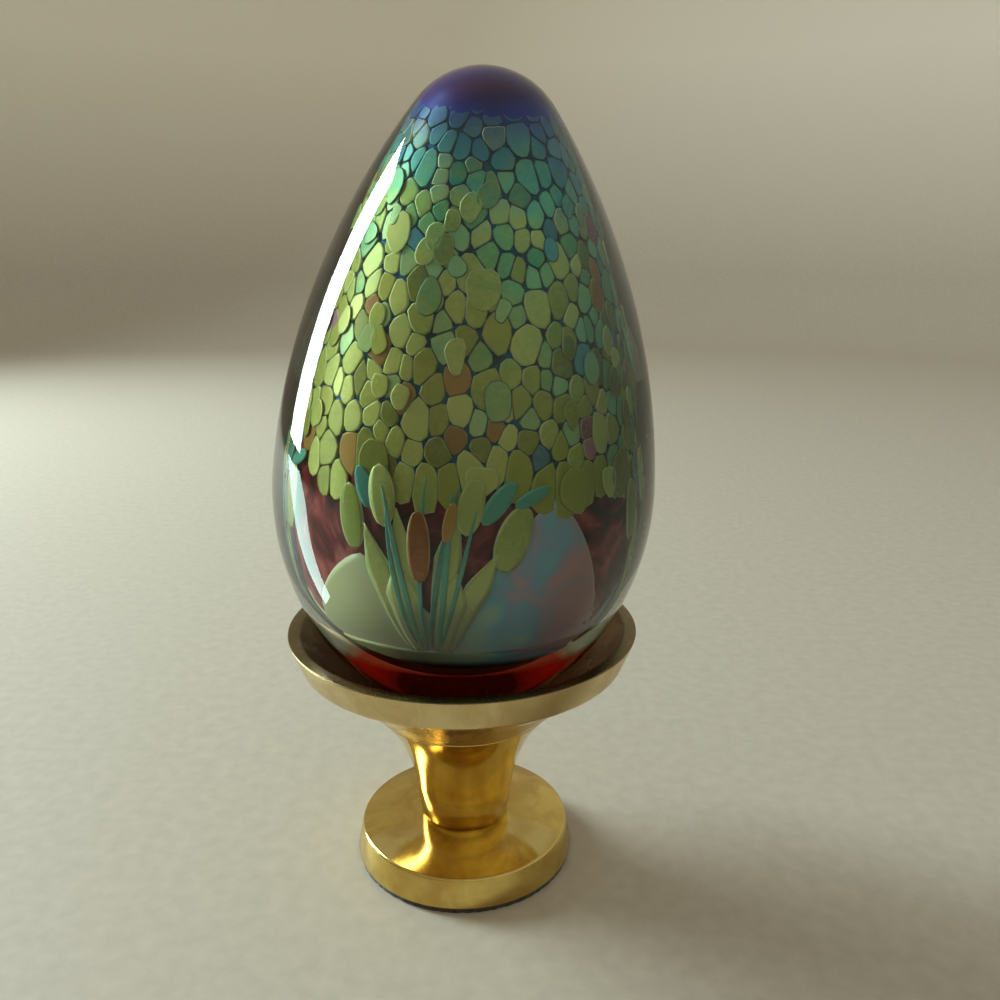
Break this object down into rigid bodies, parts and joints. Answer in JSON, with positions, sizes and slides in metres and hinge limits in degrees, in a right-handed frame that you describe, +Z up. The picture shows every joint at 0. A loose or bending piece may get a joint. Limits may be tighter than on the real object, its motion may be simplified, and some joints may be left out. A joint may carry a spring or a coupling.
{
  "type": "decorative egg on stand",
  "caption": "Solid glass paperweight egg with coloured glass chips inside, resting in a turned brass dish on a trumpet stem and round foot.",
  "frame": {"origin": "centre of the underside of the felt pad, on the stand's axis", "axes": "+Z up along the stand's axis, -Y towards the picture's camera, +X to its right; the egg leans towards +X"},
  "size_m": [0.0626, 0.0626, 0.1329],
  "materials": {
    "felt": "pressed felt",
    "polished_brass": "turned and polished, lacquered",
    "screw_steel": "zinc plated",
    "clear_glass": "fire polished and ground, clear",
    "sea_glass": "transparent blue-green, dark in the thick",
    "ruby_glass": "transparent ruby",
    "violet_glass": "transparent violet",
    "opal_glass": "milky opal with iridescent tint",
    "leaf_glass": "opaque green, lustred",
    "teal_glass": "opaque teal, lustred",
    "amber_glass": "opaque amber, lustred",
    "lime_glass": "opaque yellow-green, lustred",
    "olive_glass": "opaque olive, lustred",
    "blue_glass": "opaque blue, lustred",
    "russet_glass": "opaque red-brown, lustred",
    "plum_glass": "opaque plum, lustred"
  },
  "bodies": {
    "stand": {"base_pad": "felt", "foot": "polished_brass", "stem": "polished_brass", "dish": "polished_brass", "assembly_screw": "screw_steel", "screw_washer": "screw_steel"},
    "egg": {"clear_casing": "clear_glass", "upper_core": "sea_glass", "ruby_core": "ruby_glass", "violet_cap": "violet_glass", "opal_ground": "opal_glass", "opal_hills": "opal_glass", "leaf_blades": "leaf_glass", "teal_stems": "teal_glass", "amber_petals": "amber_glass", "lime_chips": "lime_glass", "olive_chips": "olive_glass", "teal_chips": "teal_glass", "blue_chips": "blue_glass", "russet_chips": "russet_glass", "plum_chips": "plum_glass"}
  },
  "joints": [
    {"name": "egg_lift", "type": "slide", "parent": "stand", "child": "egg", "axis": [0, 0, 1], "range_m": [0, 0.03]}
  ]
}
